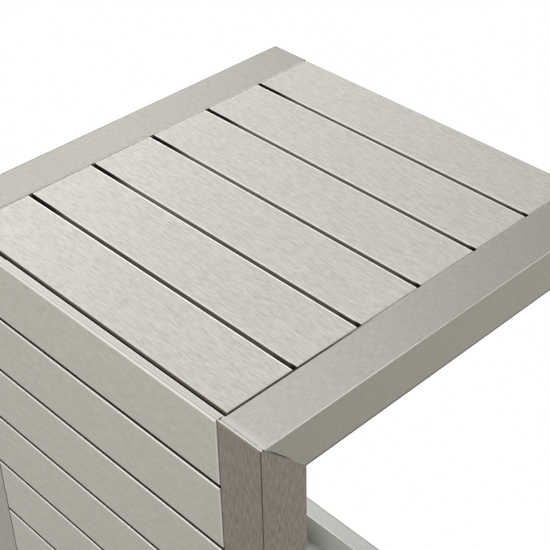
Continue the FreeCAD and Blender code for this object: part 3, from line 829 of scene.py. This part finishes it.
floor_finish, tree = new_material("paint_matt_white_floor")
texture = add_node(tree, "ShaderNodeTexCoord")
outside = FLOOR_RADIUS
for middle, radius in SHADOW_ZONES:
    distance = add_node(tree, "ShaderNodeVectorMath", {
        0: texture.outputs["Object"], 1: middle}, operation="DISTANCE")
    beyond = add_node(tree, "ShaderNodeMath", {
        0: distance.outputs["Value"], 1: radius}, operation="SUBTRACT")
    outside = add_node(tree, "ShaderNodeMath", {
        0: outside, 1: beyond.outputs["Value"]}, operation="MINIMUM").outputs["Value"]
away = add_node(tree, "ShaderNodeMapRange", {
    "Value": outside, "From Min": 0.0, "From Max": SHADOW_FADE}, interpolation_type="SMOOTHSTEP")
place = add_node(tree, "ShaderNodeSeparateXYZ", {"Vector": texture.outputs["Object"]})
across = add_node(tree, "ShaderNodeMath", {0: place.outputs["X"]}, operation="ABSOLUTE")
past_side = add_node(tree, "ShaderNodeMath", {
    0: across.outputs["Value"], 1: cad_high.x}, operation="SUBTRACT")
aside = add_node(tree, "ShaderNodeMath", {0: past_side.outputs["Value"], 1: 0.0}, operation="MAXIMUM")
start = add_node(tree, "ShaderNodeMath", {
    0: SHADOW_BACK[0], 1: aside.outputs["Value"]}, operation="SUBTRACT")
end = add_node(tree, "ShaderNodeMath", {0: SHADOW_BACK[1], 1: aside.outputs["Value"]}, operation="ADD")
behind = add_node(tree, "ShaderNodeMapRange", {
    "Value": place.outputs["Y"], "From Min": start.outputs["Value"], "From Max": end.outputs["Value"]})
far = add_node(tree, "ShaderNodeMath", {
    0: away.outputs["Result"], 1: behind.outputs["Result"]}, operation="MAXIMUM")
print("floor keeps the shadow in", len(SHADOW_ZONES), "zones")

# %% Paint the floor
rays = add_node(tree, "ShaderNodeLightPath")
shown = rays.outputs["Is Camera Ray"]
for kind in ("Is Glossy Ray", "Is Transmission Ray"):
    shown = add_node(tree, "ShaderNodeMath", {
        0: shown, 1: rays.outputs[kind]}, operation="MAXIMUM").outputs["Value"]
white_part = add_node(tree, "ShaderNodeMath", {0: far.outputs["Value"], 1: shown}, operation="MULTIPLY")
# Matt paint: an even white that takes the shadow and shows no gloss.
paint = add_node(tree, "ShaderNodeBsdfDiffuse", {"Color": linear("#f6f6f5")})
white = add_node(tree, "ShaderNodeEmission", {"Color": linear("#ffffff"), "Strength": 1.0})
both = add_node(tree, "ShaderNodeMixShader", {
    0: white_part.outputs["Value"], 1: paint.outputs["BSDF"], 2: white.outputs["Emission"]})
add_node(tree, "ShaderNodeOutputMaterial", {"Surface": both.outputs["Shader"]})
# The white is no lamp: only the rays that it is shown to may find it.
floor_finish.cycles.emission_sampling = "NONE"
floor_mesh.materials.append(floor_finish)
print("floor is", floor_finish.name)

# %% [markdown]
# ## The light
#
# Brushed metal shows what stands round it, so the studio is a ring of softboxes with one above. Most
# of them stand on the left and behind, which lets the right rail fall darker than the left, and a low
# one in front lights the panel. Two smaller ones, in front on the left and behind on the right, are
# there for the rounded edges, which catch them as thin bright lines. The camera sees none of them.

# %% Set the softboxes
# Each has its compass angle from +X towards +Y, its height angle, its side, and its face's brightness.
SOFTBOXES = {
    "softbox_above": (0, 90, 1.6, 1.48),
    "softbox_left": (180, 35, 1.6, 1.76),
    "softbox_back_left": (160, 25, 1.6, 1.09),
    "softbox_back_left_low": (135, 12, 1.6, 2.30),
    "softbox_back_left_high": (135, 60, 1.6, 2.35),
    "softbox_back_low": (90, 12, 1.6, 3.20),
    "softbox_front_low": (250, 10, 1.6, 2.78),
    "softbox_front_left_low": (225, 12, 1.6, 0.50),
    "softbox_front_edges": (225, 36, 1.2, 2.5),
    "softbox_back_edges": (45, 36, 1.2, 2.5),
}
SOFTBOX_DISTANCE = 2.6
AIM = Vector((0.0, 0.0, 0.4))
WORLD_STRENGTH = 0.02

for name, (around, up, size, brightness) in SOFTBOXES.items():
    around, up = math.radians(around), math.radians(up)
    away = Vector((math.cos(around) * math.cos(up), math.sin(around) * math.cos(up), math.sin(up)))
    lamp_data = bpy.data.lights.new(name, "AREA")
    lamp_data.size = size
    # A face of brightness 1 gives pi watts from each square metre.
    lamp_data.energy = brightness * math.pi * size ** 2
    lamp = bpy.data.objects.new(name, lamp_data)
    lamp.location = AIM + away * SOFTBOX_DISTANCE
    lamp.rotation_euler = (-away).to_track_quat("-Z", "Y").to_euler()
    lamp.visible_camera = False
    bpy.context.scene.collection.objects.link(lamp)

world = bpy.data.worlds.new("studio")
world.use_nodes = True
world.node_tree.nodes["Background"].inputs["Color"].default_value = linear("#ffffff")
world.node_tree.nodes["Background"].inputs["Strength"].default_value = WORLD_STRENGTH
bpy.context.scene.world = world
print("softboxes:", len(SOFTBOXES))
